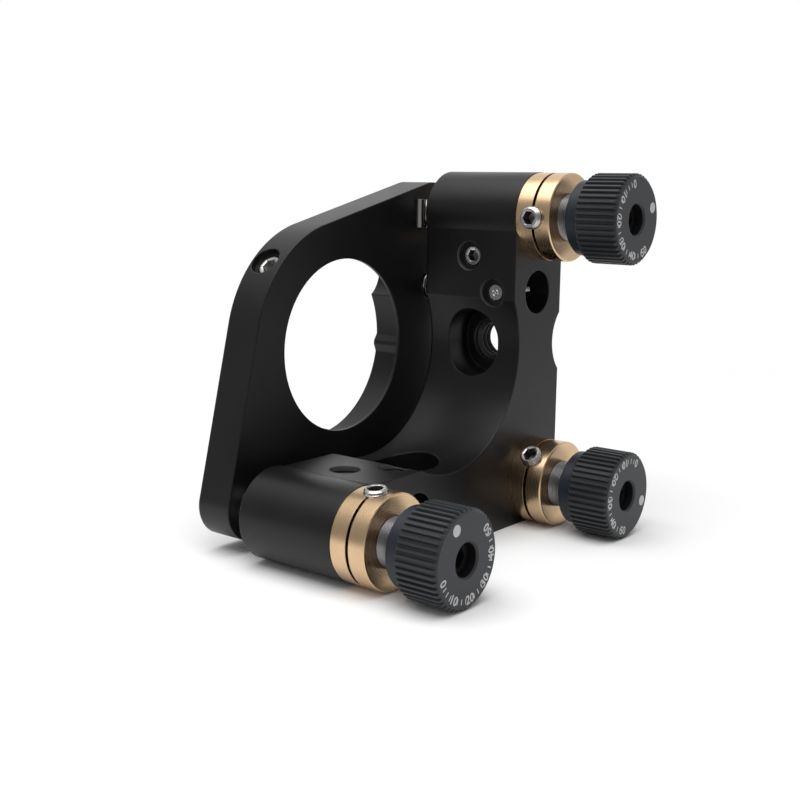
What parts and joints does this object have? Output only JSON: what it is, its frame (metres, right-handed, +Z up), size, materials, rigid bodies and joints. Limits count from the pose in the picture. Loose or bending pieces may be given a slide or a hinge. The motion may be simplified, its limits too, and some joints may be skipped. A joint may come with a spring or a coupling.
{
  "type": "kinematic mirror mount",
  "caption": "Kinematic mount that holds a round mirror by its rim and tilts it with fine, lockable adjuster screws against return springs.",
  "frame": {"origin": "on the base plane, under the middle of the whole mount's box", "axes": "+Y from the adjuster knobs towards the mirror, +Z up, +X to the right seen from the knobs"},
  "size_m": [0.049, 0.0394, 0.049],
  "materials": {
    "black_anodise": "satin black anodised aluminium",
    "knob_black": "satin black anodised aluminium, ribbed",
    "bronze": "turned bronze, satin",
    "shank_steel": "fine threaded stainless steel",
    "screw_steel": "bright stainless steel",
    "dark_steel": "dull stainless steel",
    "spring_steel": "drawn spring wire",
    "ball_steel": "hardened and polished steel"
  },
  "bodies": {
    "root": {"back_plate": "black_anodise", "bushing_left": "bronze", "bushing_corner": "bronze", "bushing_top": "bronze", "bushing_set_screw_left": "screw_steel", "bushing_set_screw_top": "screw_steel", "rear_spring_pin_left": "screw_steel", "rear_spring_pin_top": "screw_steel", "return_spring_left": "spring_steel", "return_spring_top": "spring_steel"},
    "screw_left": {"adjuster_screw_left": "shank_steel"},
    "turning_knob_left": {"knob_left": "knob_black"},
    "lock_left": {"lock_screw_left": "screw_steel"},
    "screw_corner": {"adjuster_screw_corner": "shank_steel"},
    "turning_knob_corner": {"knob_corner": "knob_black"},
    "lock_corner": {"lock_screw_corner": "screw_steel"},
    "screw_top": {"adjuster_screw_top": "shank_steel"},
    "turning_knob_top": {"knob_top": "knob_black"},
    "lock_top": {"lock_screw_top": "screw_steel"},
    "left_pivot": {"contact_ball_left": "ball_steel"},
    "top_pivot": {"contact_ball_top": "ball_steel"},
    "front": {"front_plate": "black_anodise", "flat_seat": "ball_steel", "cone_seat": "ball_steel", "vee_pin_inner": "ball_steel", "vee_pin_outer": "ball_steel", "contact_ball_corner": "ball_steel", "front_spring_pin_left": "screw_steel", "front_spring_pin_top": "screw_steel"},
    "optic_screw": {"optic_set_screw": "dark_steel"}
  },
  "joints": [
    {"name": "screw_travel_left", "type": "slide", "parent": "root", "child": "screw_left", "axis": [0, 1, 0], "range_m": [-0.00152, 0.00152]},
    {"name": "knob_turn_left", "type": "hinge", "parent": "screw_left", "child": "turning_knob_left", "pos_m": [-0.0185, -0.00437, 0.006], "axis": [0, 1, 0], "range_deg": [-2160.5, 2160.5]},
    {"name": "lock_turn_left", "type": "hinge", "parent": "root", "child": "lock_left", "pos_m": [-0.0185, -0.00697, 0.006], "axis": [-0.1219, 0, 0.9925], "range_deg": [-180, 0]},
    {"name": "screw_travel_corner", "type": "slide", "parent": "root", "child": "screw_corner", "axis": [0, 1, 0], "range_m": [-0.00152, 0.00152]},
    {"name": "knob_turn_corner", "type": "hinge", "parent": "screw_corner", "child": "turning_knob_corner", "pos_m": [0.0185, -0.00437, 0.006], "axis": [0, 1, 0], "range_deg": [-2160.5, 2160.5]},
    {"name": "lock_turn_corner", "type": "hinge", "parent": "root", "child": "lock_corner", "pos_m": [0.0185, -0.00697, 0.006], "axis": [-0.7071, 0, 0.7071], "range_deg": [-180, 0]},
    {"name": "screw_travel_top", "type": "slide", "parent": "root", "child": "screw_top", "axis": [0, 1, 0], "range_m": [-0.00152, 0.00152]},
    {"name": "knob_turn_top", "type": "hinge", "parent": "screw_top", "child": "turning_knob_top", "pos_m": [0.0185, -0.00437, 0.043], "axis": [0, 1, 0], "range_deg": [-2160.5, 2160.5]},
    {"name": "lock_turn_top", "type": "hinge", "parent": "root", "child": "lock_top", "pos_m": [0.0185, -0.00697, 0.043], "axis": [-1, 0, 0], "range_deg": [-180, 0]},
    {"name": "tilt_left", "type": "hinge", "parent": "root", "child": "left_pivot", "pos_m": [0.0185, 0.01157, 0.006], "axis": [0, -0.0122, -0.9999], "range_deg": [-2.36, 2.36], "deforming": ["return_spring_left"]},
    {"name": "tilt_top", "type": "hinge", "parent": "left_pivot", "child": "top_pivot", "pos_m": [-0.0185, 0.01157, 0.006], "axis": [-1, 0, 0], "range_deg": [-2.36, 2.36], "deforming": ["return_spring_top"]},
    {"name": "tilt_corner", "type": "hinge", "parent": "top_pivot", "child": "front", "pos_m": [-0.0185, 0.01157, 0.006], "axis": [0.7071, 0.0086, 0.7071], "range_deg": [-3.34, 3.34]},
    {"name": "optic_screw_travel", "type": "slide", "parent": "front", "child": "optic_screw", "axis": [0.7071, 0, -0.7071], "range_m": [-0.0015, 0.0004]}
  ],
  "couplings": [
    {"joint": "knob_turn_left", "follows": "screw_travel_left", "rad_per_m": 24737},
    {"joint": "knob_turn_corner", "follows": "screw_travel_corner", "rad_per_m": 24737},
    {"joint": "knob_turn_top", "follows": "screw_travel_top", "rad_per_m": 24737},
    {"joint": "tilt_left", "follows": "screw_travel_left", "rad_per_m": 27.029},
    {"joint": "tilt_top", "follows": "screw_travel_top", "rad_per_m": 27.027},
    {"joint": "tilt_corner", "follows": "screw_travel_corner", "rad_per_m": 38.223}
  ]
}
